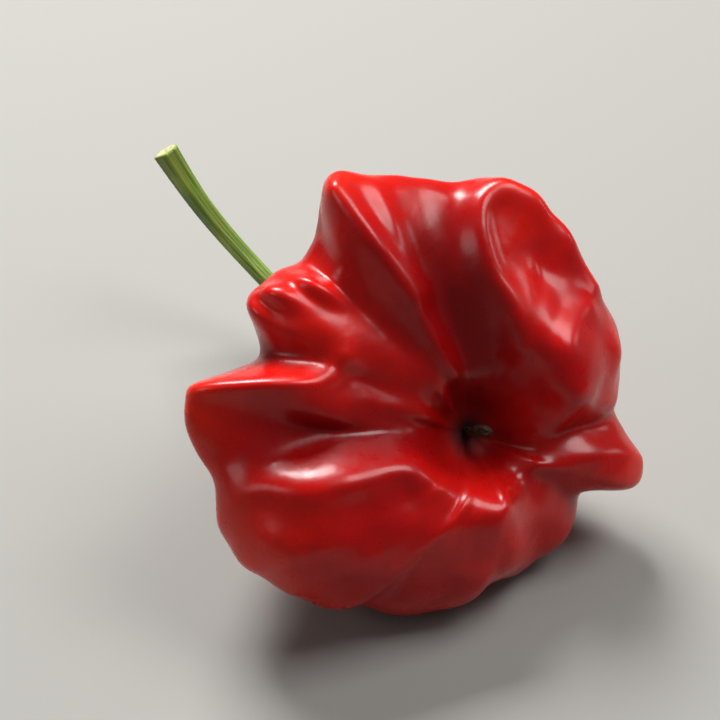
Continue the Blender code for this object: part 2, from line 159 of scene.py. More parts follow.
# degrees that the lifting direction still leans off +z, and where each part of them fades out
LEANS = ((60, 0.05, 0.25), (120, 0.35, 0.78))
# azimuths, then depths (1 reaches VALLEY), on the flank, at the rim, on the face and by the pit; then half
# width in mm and roundness of the bottom
CREASES = (
    ((206, 194, 181, 175), (0.25, 0.30, 0.95, 0.70), 2.0, 1.0),
    ((156, 158, 151, 143), (0.40, 1.00, 0.50, 0.00), 1.7, 0.5),
    ((118, 116, 124, 135), (0.45, 0.75, 0.25, 0.00), 2.0, 0.6),
    ((75, 76, 85, 80), (0.45, 0.50, 1.00, 0.90), 3.0, 1.3),
    ((349, 346, 342, 333), (0.25, 0.40, 0.60, 0.30), 2.0, 0.5),
    ((322, 320, 314, 305), (0.35, 0.45, 0.50, 0.40), 2.0, 0.6),
    ((288, 288, 297, 289), (0.25, 0.10, 0.35, 0.40), 2.4, 0.8),
)
# azimuth, start and end down the outline (0 stalk end, 1 pit), depth and half width of each short pucker
PUCKERS = (
    (272, 0.06, 0.50, 0.45, 3.8), (42, 0.28, 0.50, 0.30, 3.0), (138, 0.42, 0.60, 0.20, 1.8),
    (108, 0.16, 0.44, 0.25, 2.6), (200, 0.10, 0.34, 0.35, 2.6), (20, 0.10, 0.40, 0.30, 2.6),
    (172, 0.30, 0.52, 0.15, 2.2),
)
# azimuth, place down the outline, half width in mm, half length down the outline, height in mm
SWELLINGS = (
    (238, 0.80, 8.0, 0.060, 2.2), (205, 0.71, 5.5, 0.060, 1.6), (51, 0.67, 3.6, 0.050, -2.2),
    (112, 0.70, 4.0, 0.10, -0.4), (146, 0.58, 1.4, 0.028, 1.3), (138, 0.61, 1.5, 0.030, 1.6),
    (129, 0.62, 1.7, 0.032, 1.7), (120, 0.62, 1.7, 0.030, 1.3), (142, 0.61, 0.7, 0.034, -0.6),
    (133.5, 0.62, 0.8, 0.036, -0.7), (124.5, 0.62, 0.8, 0.034, -0.6),
    (177, 0.66, 4.0, 0.05, -0.6), (18, 0.75, 6.0, 0.055, 2.5), (40, 0.62, 1.8, 0.030, 0.5),
    (5, 0.64, 1.6, 0.025, 0.5),
)
# azimuth, place down the outline, half width in mm and height in mm along the crest of each fold
FOLDS = (
    ((205, 0.51, 2.6, 1.0), (196, 0.57, 3.2, 1.9), (190, 0.62, 3.4, 2.4), (192, 0.67, 3.3, 2.4),
     (194, 0.72, 3.2, 2.3), (192, 0.76, 3.0, 2.6), (192, 0.79, 2.8, 2.8), (198, 0.82, 2.8, 2.6),
     (212, 0.84, 2.9, 2.4), (230, 0.85, 3.2, 2.2), (249, 0.85, 3.4, 2.1), (264, 0.835, 3.4, 2.1),
     (275, 0.8, 3.2, 2.0), (280, 0.74, 3.0, 1.7), (284, 0.66, 3.0, 1.0)),
    ((147, 0.7, 1.7, 0.9), (153, 0.68, 1.7, 1.4), (159, 0.665, 1.6, 1.5), (164, 0.64, 1.6, 1.5),
     (167, 0.6, 1.6, 1.3), (168, 0.56, 1.6, 1.2), (170, 0.5, 1.7, 0.8)),
    ((109, 0.62, 1.7, 1.2), (108, 0.68, 1.7, 1.9), (107, 0.73, 1.7, 1.9), (105, 0.78, 1.7, 1.6),
     (103, 0.83, 1.7, 0.9)),
    ((98, 0.6, 1.5, 0.5), (99, 0.66, 1.5, 0.8), (100, 0.71, 1.5, 0.7)),
    ((52, 0.78, 1.8, 1.0), (61, 0.74, 1.8, 1.3), (68, 0.71, 1.8, 1.5), (72, 0.67, 1.8, 1.5),
     (72, 0.63, 1.8, 1.4), (68, 0.6, 1.8, 1.3), (60, 0.6, 1.8, 1.2), (50, 0.6, 1.8, 1.2),
     (38, 0.6, 1.8, 1.2), (26, 0.61, 1.8, 1.0)),
    ((386, 0.66, 1.6, 0.5), (390, 0.71, 1.6, 0.5), (387, 0.76, 1.6, 0.4)),
    ((380, 0.79, 1.6, 0.5), (366, 0.77, 1.6, 0.5), (359, 0.73, 1.6, 0.5)),
    ((322, 0.79, 1.7, 0.7), (332, 0.74, 1.7, 0.7), (337, 0.68, 1.7, 0.7), (335, 0.61, 1.7, 0.7)),
    ((250, 0.26, 3.2, 1.9), (249, 0.46, 3.2, 1.9)),
    ((298, 0.26, 3.2, 1.9), (297, 0.46, 3.2, 1.9)),
)
# points of each fold's spline per row above, and how often their places are averaged with their neighbours'
FOLD_STEPS = 6
FOLD_SOFTENING = 6
# height, size and seed of the soft unevenness all over the skin
UNEVEN = ((0.35, 14.0, 3), (0.05, 5.5, 8))
# size and seed of the finest waviness, which only the finest grid gets
FINEST = (2.2, 21)
print(len(CREASES), "creases,", len(SWELLINGS), "swellings and dents,", len(FOLDS), "folds")

# %% [markdown]
# ## The skin as one formula
# A sculptor would push clay about. Here the same pushes are numbers: how far the rim reaches at each azimuth, how
# deep each crease is at each place down the outline, and where a dent or a knob lifts the skin along its normal.
# All of it works on whole arrays, so the same function gives a coarse pod in a blink or a fine one in a second.

# %% The pod's surface
def grid_normals(p):
    """Cross product of the step around the ring and the step down the outline, made one long. The poles point
    along z."""
    down = np.gradient(p, axis=0)
    wrapped = np.concatenate([p[:, -2:-1], p, p[:, 1:2]], axis=1)
    around = np.gradient(wrapped, axis=1)[:, 1:-1]
    n = np.cross(around, down)
    n /= np.maximum(np.linalg.norm(n, axis=2, keepdims=True), 1e-9)
    n[0] = (0, 0, -1)
    n[-1] = (0, 0, 1)
    return n


def rim_line(azimuth):
    """Means of RIM's reaches and of its forward shifts, weighted by a bell curve of the turn to each point."""
    bells = np.stack([np.exp(-((turn(azimuth, point[0]) / RIM_BLEND) ** 2)) for point in RIM])
    reach, shift = (np.tensordot([point[k] for point in RIM], bells, 1) / bells.sum(0) for k in (1, 2))
    return reach, shift


def stations(down, values):
    """The values at the flank, the rim, the face and by the pit, joined by soft steps."""
    flank, rim, face, pit = values
    value = flank + (rim - flank) * smooth(down, *FLANK_TO_RIM)
    return value + (face - rim) * smooth(down, *RIM_TO_FACE) + (pit - face) * smooth(down, *FACE_TO_PIT)


def crest_share(down, azimuth, radius):
    """One minus depth times a soft valley, multiplied over creases and puckers: 1 on a lobe, 0 in a crease."""
    share = np.ones(azimuth.shape)
    widening = 1 + FLANK_WIDENING * (1 - smooth(down, *WIDENING_ENDS))
    for path, depths, half, roundness in CREASES:
        width = np.minimum(np.degrees(half * widening / radius), WIDEST)
        valley = soft_valley(turn(azimuth, stations(down, path)), width, roundness)
        share *= 1 - stations(down, depths) * smooth(down, *CREASE_START) * valley
    for centre, start, end, depth, half in PUCKERS:
        valley = soft_valley(np.radians(turn(azimuth, centre)) * radius, half, PUCKER_ROUNDNESS)
        along = (down - (start + end) / 2) / ((end - start) / 2)
        share *= 1 - depth * valley * np.exp(-(along**4))
    return share


def grid_spots(p, azimuth, down):
    """The grid's points at azimuths and places down the outline: means of their four neighbours by nearness."""
    row, column = down * (p.shape[0] - 1), azimuth % 360 / 360 * (p.shape[1] - 1)
    i, j = row.astype(int), column.astype(int)
    u, v = (row - i)[:, None], (column - j)[:, None]
    above = (1 - v) * p[i, j] + v * p[i, j + 1]
    below = (1 - v) * p[i + 1, j] + v * p[i + 1, j + 1]
    return (1 - u) * above + u * below


def fold_rise(p, path):
    """The largest of height times a bell curve of the distance to each piece of a spline along the path."""
    azimuth, down, half, height = spline(path, np.linspace(0, 1, FOLD_STEPS * len(path))).T
    spots = grid_spots(p, azimuth, down)
    for _ in range(FOLD_SOFTENING):
        spots[1:-1] = (spots[:-2] + 2 * spots[1:-1] + spots[2:]) / 4
    rise = np.zeros(p.shape[:2])
    for k, (start, end) in enumerate(zip(spots, spots[1:])):
        step = end - start
        place = np.clip((p - start) @ step / (step @ step), 0, 1)
        away = ((p - start - place[..., None] * step) ** 2).sum(2)
        width = half[k] + (half[k + 1] - half[k]) * place
        rise = np.maximum(rise, (height[k] + (height[k + 1] - height[k]) * place) * np.exp(-away / width**2))
    return rise


def pod_surface(rows, columns, fine=0.0):
    """Blend of VALLEY and CREST by crest_share, stretched to rim_line, turned round z, then lifted by lumps,
    swellings, dents and folds along a direction that swings from the stalk end over the rim to the face. Returns
    the points, the place down the outline and the crease depth."""
    down, azimuth = np.meshgrid(np.linspace(0, 1, rows), np.linspace(0, 360, columns + 1), indexing="ij")
    valley = spline(VALLEY, down)
    crest = spline(CREST, down)
    radius = np.maximum(valley[..., 0], LEAST_RADIUS)
    reach, shift = rim_line(azimuth)
    share = crest_share(down, azimuth, radius)
    valley_reach = max(point[0] for point in VALLEY)
    crest_reach = max(point[0] for point in CREST)
    spread = crest[..., 0] - valley[..., 0]
    r = valley[..., 0] + spread * (reach - valley_reach) / (CREST_REACH - valley_reach) * share
    rim = np.clip(spread / (crest_reach - valley_reach), 0, 1)
    z = valley[..., 1] + (crest[..., 1] - valley[..., 1]) * share + shift * rim
    off = smooth(down, *PIT_SLIDE)
    angle = np.radians(azimuth)
    p = np.stack([r * np.cos(angle) + PIT[0] * off, r * np.sin(angle) + PIT[1] * off, z], axis=2)
    quiet = smooth(down, *EVEN_START) * (1 - smooth(down, *EVEN_END))
    rise = sum(height * lumps(p, size, seed) for height, size, seed in UNEVEN) * quiet
    if fine:
        rise += fine * lumps(p, *FINEST) * quiet
    for centre, place, half, length, height in SWELLINGS:
        across = np.radians(turn(azimuth, centre)) * radius / half
        rise += height * np.exp(-(across**2) - ((down - place) / length) ** 2)
    for path in FOLDS:
        rise += fold_rise(p, path)
    lean = np.radians(sum(part * (1 - smooth(down, start, end)) for part, start, end in LEANS))
    out = np.stack([np.sin(lean) * np.cos(angle), np.sin(lean) * np.sin(angle), np.cos(lean)], axis=2)
    return p + out * rise[..., None], down, 1 - share


COARSE_GRID = (52, 100)
coarse, _, _ = pod_surface(*COARSE_GRID)
print("pod in mm", (coarse.max((0, 1)) - coarse.min((0, 1))).round(1))

# %% [markdown]
# ## How it lies
# A picked pod rolls until its weight is over the points that touch. Those points are a facet of its convex hull,
# the shape of cling film pulled tight round it. So the hull's facets are tried in turn, and the one that
# faces down the most with the weight's foot inside it is turned to the table. Doing the sum beats guessing two
# angles, because the pod then really touches where it should.

# %% Find the resting turn
# degrees that the face looks up before the pod settles
TILT = 32.0
# how deep the lowest spots are pressed flat
FLAT_DEPTH = 0.25


def weight_centre(points, triangles):
    """Mean of the centres of the cones from the origin to each triangle, weighted by their signed volumes."""
    a, b, c = (points[triangles[:, k]] for k in range(3))
    volume = np.einsum("ij,ij->i", a, np.cross(b, c))
    return (volume[:, None] * (a + b + c)).sum(0) / volume.sum() / 4


def ring_faces(rows, columns):
    """Corners of the faces of a grid whose two end rows are poles: quads between rings, triangles at the poles."""
    start = np.arange(rows - 3)[:, None] * columns + 1
    here = np.arange(columns)[None, :]
    after = (here + 1) % columns
    quads = np.stack([start + here, start + after, start + columns + after, start + columns + here], axis=2)
    here, after = here[0], after[0]
    ring = 1 + (rows - 3) * columns
    near = np.stack([np.zeros_like(here), 1 + after, 1 + here], axis=1)
    far = np.stack([np.full_like(here, ring + columns), ring + here, ring + after], axis=1)
    return quads.reshape(-1, 4), np.vstack([near, far])


def ring_points(grid):
    """The grid's points in one list, with each end row drawn together to its mean."""
    return np.vstack([grid[0, :-1].mean(0), grid[1:-1, :-1].reshape(-1, 3), grid[-1, :-1].mean(0)])


def resting_turn(grid, upright):
    """The smallest turn after upright that lays the lowest stable hull facet flat."""
    points = ring_points(grid) @ np.array(upright).T
    quads, ends = ring_faces(grid.shape[0], grid.shape[1] - 1)
    triangles = np.vstack([quads[:, [0, 1, 2]], quads[:, [0, 2, 3]], ends])
    centre = Vector(weight_centre(points, triangles))
    hull = bmesh.new()
    for point in points.tolist():
        hull.verts.new(point)
    bmesh.ops.convex_hull(hull, input=hull.verts)
    down = None
    for face in hull.faces:
        normal = face.normal.copy()
        if normal.dot(face.calc_center_median() - centre) < 0:
            normal.negate()
        foot = centre + normal * normal.dot(face.verts[0].co - centre)
        corners = [vertex.co for vertex in face.verts]
        turns = [(b - a).cross(foot - a).dot(normal) for a, b in zip(corners, corners[1:] + corners[:1])]
        if (min(turns) > 0 or max(turns) < 0) and (down is None or normal.z < down.z):
            down = normal
    hull.free()
    return down.rotation_difference(Vector((0, 0, -1))).to_matrix() @ upright


tilt = math.radians(TILT)
upright = Matrix(((1, 0, 0), (0, math.sin(tilt), -math.cos(tilt)), (0, math.cos(tilt), math.sin(tilt))))
pose = np.array(resting_turn(coarse, upright))
laid = coarse.reshape(-1, 3) @ pose.T
low, high = (np.array(corner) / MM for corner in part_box("fruit"))
middle = (low + high) / 2 - (laid.min(0) + laid.max(0)) / 2
shift = np.array([middle[0], middle[1], -laid[:, 2].min() - FLAT_DEPTH])
print("face looks up by", round(math.degrees(math.asin(pose[2, 2])), 1), "degrees")
print("top of the pod in mm", round(laid[:, 2].max() + shift[2], 2))

# %% [markdown]
# ## From grid to mesh
# Every piece below is a grid whose first and last rows are single points, so one function turns any of them into a
# closed skin. It lays the grid down with the pod, goes to metres, and leaves the object at the origin with its
# place in its mesh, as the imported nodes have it.

# %% Mesh maker
def place(grid):
    """The pose times each point, plus the shift, in millimetres."""
    return grid @ pose.T + shift


def skin(name, grid, material, values=()):
    """Closed mesh object from a pole-to-pole grid, pressed flat where it would pass the table. Values are named
    numbers per point for the material to read."""
    points = ring_points(place(grid))
    points[:, 2] = np.maximum(points[:, 2], 0.0)
    quads, ends = ring_faces(grid.shape[0], grid.shape[1] - 1)
    mesh = bpy.data.meshes.new(name)
    mesh.from_pydata(points * MM, [], quads.tolist() + ends.tolist())
    for label, value in values:
        spread = np.concatenate([[value[0].mean()], value[1:-1, :-1].ravel(), [value[-1].mean()]])
        mesh.attributes.new(label, "FLOAT", "POINT").data.foreach_set("value", spread.astype(np.float32))
    mesh.shade_smooth()
    mesh.materials.append(material)
    made = bpy.data.objects.new(name, mesh)
    bpy.context.scene.collection.objects.link(made)
    size = np.ptp(points, axis=0)
    print(name, "triangles", 2 * len(quads) + len(ends), "size in mm", size.round(1))
    return made


def dress(piece, node):
    """The piece rides on the only body and hides the node it stands for."""
    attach(piece, "root")
    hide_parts(node)


# %% [markdown]
# ## A way to write materials
# A finish is a small graph of nodes. One helper adds any node, sets it and wires it up. Colours are
# written as the hex values a painter would pick on screen, and turned to linear light, because the renderer
# adds light and not screen values. Pattern scales are the reciprocal of a real size, since coordinates are metres.

# %% Material helpers
def paint(code):
    """Each sRGB channel of the hex code to linear: /12.92 near black, else ((c + 0.055) / 1.055) ^ 2.4."""
    channels = [int(code[i:i + 2], 16) / 255 for i in (1, 3, 5)]
    return (*[c / 12.92 if c <= 0.04045 else ((c + 0.055) / 1.055) ** 2.4 for c in channels], 1.0)


def per_mm(size):
    """The texture scale that gives features of size millimetres on coordinates in metres."""
    return 1 / (size * MM)


def add(tree, kind, inputs=None, **settings):
    """One node with its settings; each input takes a value, or a link when it is given another node's socket."""
    node = tree.nodes.new(kind)
    for key, value in settings.items():
        setattr(node, key, value)
    for key, value in (inputs or {}).items():
        if isinstance(value, bpy.types.NodeSocket):
            tree.links.new(value, node.inputs[key])
        else:
            node.inputs[key].default_value = value
    return node


def blank(name):
    """A new material, its node tree and its Principled shader."""
    material = bpy.data.materials.new(name)
    material.use_nodes = True
    return material, material.node_tree, material.node_tree.nodes["Principled BSDF"]


# the sockets of a colour Mix node, by place, because three of them share each name
FACTOR, FIRST, SECOND, MIXED = 0, 6, 7, 2


def mix(tree, factor, first, second):
    """Colour first going over to second by factor."""
    inputs = {FACTOR: factor, FIRST: first, SECOND: second}
    return add(tree, "ShaderNodeMix", inputs, data_type="RGBA").outputs[MIXED]


def between(tree, value, low, high, to_low=0.0, to_high=1.0):
    """The value's place between low and high, eased in and out, mapped to to_low and to_high."""
    inputs = {"Value": value, "From Min": low, "From Max": high, "To Min": to_low, "To Max": to_high}
    return add(tree, "ShaderNodeMapRange", inputs, interpolation_type="SMOOTHSTEP").outputs["Result"]


print("paint('#b80c08') =", [round(c, 3) for c in paint("#b80c08")])

# %% [markdown]
# ## Ripe skin
# A ripe pod has a thin, hard wax over crisp, wet flesh. The wax is what flashes: it is glossy, but never a
# mirror, because the cells under it show as a very low orange peel. Light also enters the flesh and comes out
# redder nearby, which is why thin edges glow. So the shader has a clear coat, a little scattering and a low bump.
# The red varies at random and is duller round the stalk; painted shade deepens it in the creases and by the pit,
# and a painted glow warms the thin lobe tips.

# %% Glossy red skin
DEEP_RED, BRIGHT_RED, FLECK_RED = "#b4070a", "#cc1208", "#9c0407"
CREASE_SHADE_RED, TIP_GLOW_RED = "#6e0206", "#d8260a"
PIT_SHADE_BLACK, SHOULDER_RED = "#2c0505", "#a0270c"


def ripe_skin():
    """Waxed pepper skin: a coat over scattering red flesh. The cells' relief is drawn at 0.5 mm, coarser than the
    real 0.05 mm, so that it shows."""
    material, tree, shader = blank("ripe_pepper_skin")
    where = add(tree, "ShaderNodeTexCoord").outputs["Object"]
    down = add(tree, "ShaderNodeAttribute", attribute_name="down").outputs["Fac"]
    crease = add(tree, "ShaderNodeAttribute", attribute_name="crease").outputs["Fac"]
    tip = add(tree, "ShaderNodeAttribute", attribute_name="tip").outputs["Fac"]
    clouds = add(tree, "ShaderNodeTexNoise", {"Vector": where, "Scale": per_mm(16), "Detail": 3.0}).outputs["Fac"]
    mottle = add(tree, "ShaderNodeTexNoise", {"Vector": where, "Scale": per_mm(2.4), "Detail": 4.0}).outputs["Fac"]
    red = mix(tree, between(tree, clouds, 0.35, 0.65), paint(DEEP_RED), paint(BRIGHT_RED))
    red = mix(tree, between(tree, mottle, 0.42, 0.72, 0.0, 0.35), red, paint(FLECK_RED))
    # painted shade: the creases are darkened towards a deep red, where shade falls in them
    red = mix(tree, between(tree, crease, 0.15, 0.95, 0.0, 0.75), red, paint(CREASE_SHADE_RED))
    # painted glow: the thin flesh of the lobe tips lets light through, and that warmer glow is painted into the
    # colour
    red = mix(tree, between(tree, tip, 0.0, 1.0, 0.0, 0.6), red, paint(TIP_GLOW_RED))
    # painted shade: the last couple of millimetres by the pit are darkened to nearly black-red; the skin under the
    # calyx is duller
    red = mix(tree, between(tree, down, 0.93, 0.99), red, paint(PIT_SHADE_BLACK))
    red = mix(tree, between(tree, down, 0.18, 0.06, 0.0, 0.7), red, paint(SHOULDER_RED))
    cells = add(tree, "ShaderNodeTexNoise", {"Vector": where, "Scale": per_mm(0.55), "Detail": 2.0}).outputs["Fac"]
    waves = add(tree, "ShaderNodeTexNoise", {"Vector": where, "Scale": per_mm(2.6), "Detail": 2.0}).outputs["Fac"]
    inputs = {"Height": waves, "Strength": 0.5, "Distance": 0.14 * MM}
    relief = add(tree, "ShaderNodeBump", inputs).outputs["Normal"]
    inputs = {"Height": cells, "Normal": relief, "Strength": 0.25, "Distance": 0.02 * MM}
    relief = add(tree, "ShaderNodeBump", inputs)
    tree.links.new(red, shader.inputs["Base Color"])
    # the wax is thin and the skin dull in the pit and under the calyx
    inside, outside = between(tree, down, 0.86, 0.96), between(tree, down, 0.16, 0.06)
    dull = add(tree, "ShaderNodeMath", {0: inside, 1: outside}, operation="MAXIMUM").outputs["Value"]
    polish = between(tree, mottle, 0.3, 0.7, 0.25, 0.36)
    rough = add(tree, "ShaderNodeMath", {0: dull, 1: 0.3, 2: polish}, operation="MULTIPLY_ADD").outputs["Value"]
    tree.links.new(rough, shader.inputs["Roughness"])
    tree.links.new(between(tree, dull, 0.0, 1.0, 0.18, 0.0), shader.inputs["Coat Weight"])
    tree.links.new(relief.outputs["Normal"], shader.inputs["Normal"])
    shader.inputs["IOR"].default_value = 1.34
    shader.inputs["Subsurface Weight"].default_value = 0.25
    shader.inputs["Subsurface Radius"].default_value = (1.0, 0.16, 0.06)
    shader.inputs["Subsurface Scale"].default_value = 2.5 * MM
    shader.inputs["Coat Roughness"].default_value = 0.18
    return material


FINE_GRID = (246, 400)
FINE_HEIGHT = 0.01
# a lobe's tip starts this far from the middle, and is wholly tip from there on
TIP_ZONE = (21.0, 29.0)
fine, down, crease = pod_surface(*FINE_GRID, fine=FINE_HEIGHT)
tip = smooth(np.hypot(fine[..., 0], fine[..., 1]), *TIP_ZONE)
pod = skin("pod_skin", fine, ripe_skin(), (("down", down), ("crease", crease), ("tip", tip)))
dress(pod, "fruit")

# %% [markdown]
# ## The calyx
# The calyx is the flower's green cup. On the ripe pod it is a thin leathery cap pressed onto the shoulder, with
# five short teeth, and it thickens into a neck round the stalk. It is turned like a bowl: a profile goes round the
# axis, and the edge moves in and out with the teeth. Veins run from the neck to the teeth as low ridges.

# %% Calyx skin
CALYX_RADIUS = 4.5
TOOTH_LENGTH = 1.5
TOOTH_COUNT = 5
TOOTH_TURN = 0.6
VEIN_HEIGHT = 0.16
# height, size and seed of the wrinkles
WRINKLES = (0.035, 1.1, 5)
# radius and height over the pod up the neck, from inside under the stalk's skin to its foot
NECK = ((1.20, 2.60), (1.34, 3.02), (1.60, 3.14), (1.92, 3.08), (2.12, 2.80), (2.22, 2.40), (2.40, 2.00))
# radius as a share of the edge, and height over the pod, from the neck's foot to the rounded edge
CALYX_TOP = ((0.62, 1.60), (0.74, 1.22), (0.86, 0.95), (0.95, 0.74), (1.00, 0.52), (1.015, 0.30), (0.99, 0.05))
# the underside sinks into the shoulder by this much, and the shoulder is this share of the CREST curve
UNDERSIDE = -0.1
SHOULDER_END = 0.2
CALYX_GREEN, CALYX_LIGHT, CALYX_DRY = "#5d7a24", "#7d9433", "#94924a"


def calyx_surface(rows, columns):
    """Radius and height along a spline profile turned round z; teeth stretch the radius with a squared cosine and
    veins lift the top by a sharpened cosine."""
    azimuth = np.linspace(0, 2 * np.pi, columns + 1)
    tooth = (0.5 + 0.5 * np.cos(TOOTH_COUNT * azimuth + TOOTH_TURN)) ** 2
    edge = CALYX_RADIUS + TOOTH_LENGTH * tooth + 0.10 * np.cos(3 * azimuth + 1.0) + 0.06 * np.cos(17 * azimuth)
    neck = np.array(((0.0, 2.60),) + NECK)
    top = np.array(CALYX_TOP)
    t = np.linspace(0, 1, rows)
    shoulder = spline(CREST, np.linspace(0, SHOULDER_END, 60))
    profiles = []
    for reach in edge:
        outer = np.column_stack([top[:, 0] * reach, top[:, 1]])
        under = np.array([(share * reach, UNDERSIDE) for share in (0.8, 0.4, 0.0)])
        profiles.append(spline(np.vstack([neck, outer, under]), t))
    radius, height = np.moveaxis(np.array(profiles), -1, 0)
    on_top = smooth(t, 0.40, 0.50) * (1 - smooth(t, 0.66, 0.78))
    to_tooth = np.cos(TOOTH_COUNT * azimuth + TOOTH_TURN)
    vein = np.maximum(to_tooth, -0.8 * to_tooth) ** 6
    height = height + VEIN_HEIGHT * on_top[None, :] * vein[:, None]
    z = np.interp(radius, shoulder[:, 0], shoulder[:, 1]) - height
    grid = np.stack([radius * np.cos(azimuth)[:, None], radius * np.sin(azimuth)[:, None], z], axis=2)
    grid = np.swapaxes(grid, 0, 1)
    high, size, seed = WRINKLES
    wrinkle = high * lumps(grid, size, seed) * (smooth(t, 0.25, 0.4) * (1 - smooth(t, 0.78, 0.85)))[:, None]
    return grid + grid_normals(grid) * wrinkle[..., None], np.repeat(t[:, None], columns + 1, axis=1)


def leafy_calyx():
    """Calyx: matt leafy green, yellower towards the drying tooth edges, with a fine grain."""
    material, tree, shader = blank("green_calyx")
    where = add(tree, "ShaderNodeTexCoord").outputs["Object"]
    along = add(tree, "ShaderNodeAttribute", attribute_name="along").outputs["Fac"]
    blotch = add(tree, "ShaderNodeTexNoise", {"Vector": where, "Scale": per_mm(1.6), "Detail": 4.0}).outputs["Fac"]
    grain = add(tree, "ShaderNodeTexNoise", {"Vector": where, "Scale": per_mm(0.3), "Detail": 3.0}).outputs["Fac"]
    green = mix(tree, between(tree, blotch, 0.35, 0.65), paint(CALYX_GREEN), paint(CALYX_LIGHT))
    green = mix(tree, between(tree, along, 0.58, 0.70, 0.0, 0.6), green, paint(CALYX_DRY))
    relief = add(tree, "ShaderNodeBump", {"Height": grain, "Strength": 0.5, "Distance": 0.06 * MM})
    tree.links.new(green, shader.inputs["Base Color"])
    tree.links.new(relief.outputs["Normal"], shader.inputs["Normal"])
    shader.inputs["Roughness"].default_value = 0.5
    shader.inputs["Subsurface Weight"].default_value = 0.1
    shader.inputs["Subsurface Radius"].default_value = (0.5, 1.0, 0.2)
    shader.inputs["Subsurface Scale"].default_value = 0.8 * MM
    return material


CALYX_GRID = (90, 240)
cap, along = calyx_surface(*CALYX_GRID)
calyx = skin("calyx_skin", cap, leafy_calyx(), (("along", along),))
dress(calyx, "calyx")

# %% [markdown]
# ## The stalk
# The stalk is a tube that follows a curved path. Rings stand square to the path, and each ring's start is carried
# along from the ring before, so the five ribs don't twist. It flares where it was cut, and the cut shows
# a pale ring of fibres round a softer pith, which sinks a little as it dries.

# %% Stalk skin
STALK_PATH = (
    (0.0, 0.0, -24.65), (0.0, 0.4, -27.6), (-0.7, 2.6, -31.0), (-3.0, 7.2, -34.2), (-7.2, 13.6, -36.4),
    (-11.8, 20.8, -37.4), (-15.2, 28.2, -37.2),
)
STALK_RADII = (1.36, 1.30, 1.16, 1.08, 1.06, 1.10, 1.22, 1.55)
RIB_COUNT = 5
RIB_HEIGHT = 0.07
# how far the pith of the cut end sinks, and how much of that the ring of fibres round it makes up for
PITH_SINK = 0.22
FIBRE_RISE = 0.10
STALK_GREEN, STALK_LIGHT, STALK_OLIVE = "#547a20", "#86a63c", "#6b7a2a"
FIBRE_TAN, FIBRE_PALE, PITH_TAN = "#a8a468", "#cfc890", "#8a7a48"


def tube_surface(path, radii, rows, columns, profile, cap_rows=0):
    """Rings at right angles to a spline path, each radius times profile(angle, t), closed at both ends; cap_rows
    more rings go in across the far end."""
    t = np.linspace(0, 1, rows)
    centre = spline(path, t)
    tangent = np.gradient(centre, axis=0)
    tangent /= np.linalg.norm(tangent, axis=1)[:, None]
    radius = spline(radii, t)[:, 0]
    angle = np.linspace(0, 2 * np.pi, columns + 1)
    side = np.array([1.0, 0.0, 0.0])
    grid = [np.repeat(centre[:1], columns + 1, axis=0)]
    for i, (point, along) in enumerate(zip(centre, tangent)):
        side = side - along * (side @ along)
        side /= np.linalg.norm(side)
        other = np.cross(along, side)
        ring = np.outer(np.cos(angle), side) + np.outer(np.sin(angle), other)
        grid.append(point + (radius[i] * profile(angle, t[i]))[:, None] * ring)
    edge = grid[-1] - point
    for share in np.linspace(1, 0, cap_rows + 2)[1:-1]:
        sink = PITH_SINK * smooth(1 - share, 0.35, 0.75) - FIBRE_RISE * smooth(1 - share, 0.0, 0.2)
        grid.append(point + edge * share - along * sink)
    sink = PITH_SINK - FIBRE_RISE if cap_rows else 0.0
    grid.append(np.repeat(point[None] - along * sink, columns + 1, axis=0))
    return np.array(grid)


def stalk_profile(angle, t):
    """One plus five broad ribs and fifteen fine ones."""
    return 1 + RIB_HEIGHT * np.cos(RIB_COUNT * angle) + 0.012 * np.cos(3 * RIB_COUNT * angle + 4 * t)


def green_stalk():
    """Stalk: fresh green bark with long paler streaks; the cut end is pale fibre round a tan pith."""
    material, tree, shader = blank("green_stalk")
    where = add(tree, "ShaderNodeTexCoord").outputs["Object"]
    along = add(tree, "ShaderNodeAttribute", attribute_name="along").outputs["Fac"]
    around = add(tree, "ShaderNodeAttribute", attribute_name="around").outputs["Fac"]
    cut = add(tree, "ShaderNodeAttribute", attribute_name="cut").outputs["Fac"]
    lengthwise = add(tree, "ShaderNodeCombineXYZ", {"X": around, "Y": along}).outputs["Vector"]
    streak = add(tree, "ShaderNodeTexNoise", {"Vector": lengthwise, "Scale": 9.0, "Detail": 3.0}).outputs["Fac"]
    blotch = add(tree, "ShaderNodeTexNoise", {"Vector": where, "Scale": per_mm(5), "Detail": 3.0}).outputs["Fac"]
    fleck = add(tree, "ShaderNodeTexNoise", {"Vector": where, "Scale": per_mm(0.35), "Detail": 3.0}).outputs["Fac"]
    green = mix(tree, between(tree, streak, 0.38, 0.62), paint(STALK_GREEN), paint(STALK_LIGHT))
    green = mix(tree, between(tree, blotch, 0.45, 0.7, 0.0, 0.5), green, paint(STALK_OLIVE))
    wood = mix(tree, between(tree, fleck, 0.35, 0.65), paint(FIBRE_TAN), paint(FIBRE_PALE))
    pith = mix(tree, between(tree, cut, 1.45, 1.70), wood, paint(PITH_TAN))
    green = mix(tree, between(tree, cut, 0.05, 0.6), green, pith)
    inputs = {"Height": streak, "Strength": 0.4, "Distance": 0.08 * MM}
    relief = add(tree, "ShaderNodeBump", inputs).outputs["Normal"]
    inputs = {"Height": fleck, "Normal": relief, "Strength": 0.4, "Distance": 0.04 * MM}
    relief = add(tree, "ShaderNodeBump", inputs)
    tree.links.new(green, shader.inputs["Base Color"])
    tree.links.new(relief.outputs["Normal"], shader.inputs["Normal"])
    shader.inputs["Roughness"].default_value = 0.45
    shader.inputs["Subsurface Weight"].default_value = 0.1
    shader.inputs["Subsurface Radius"].default_value = (0.5, 1.0, 0.2)
    shader.inputs["Subsurface Scale"].default_value = 0.6 * MM
    return material


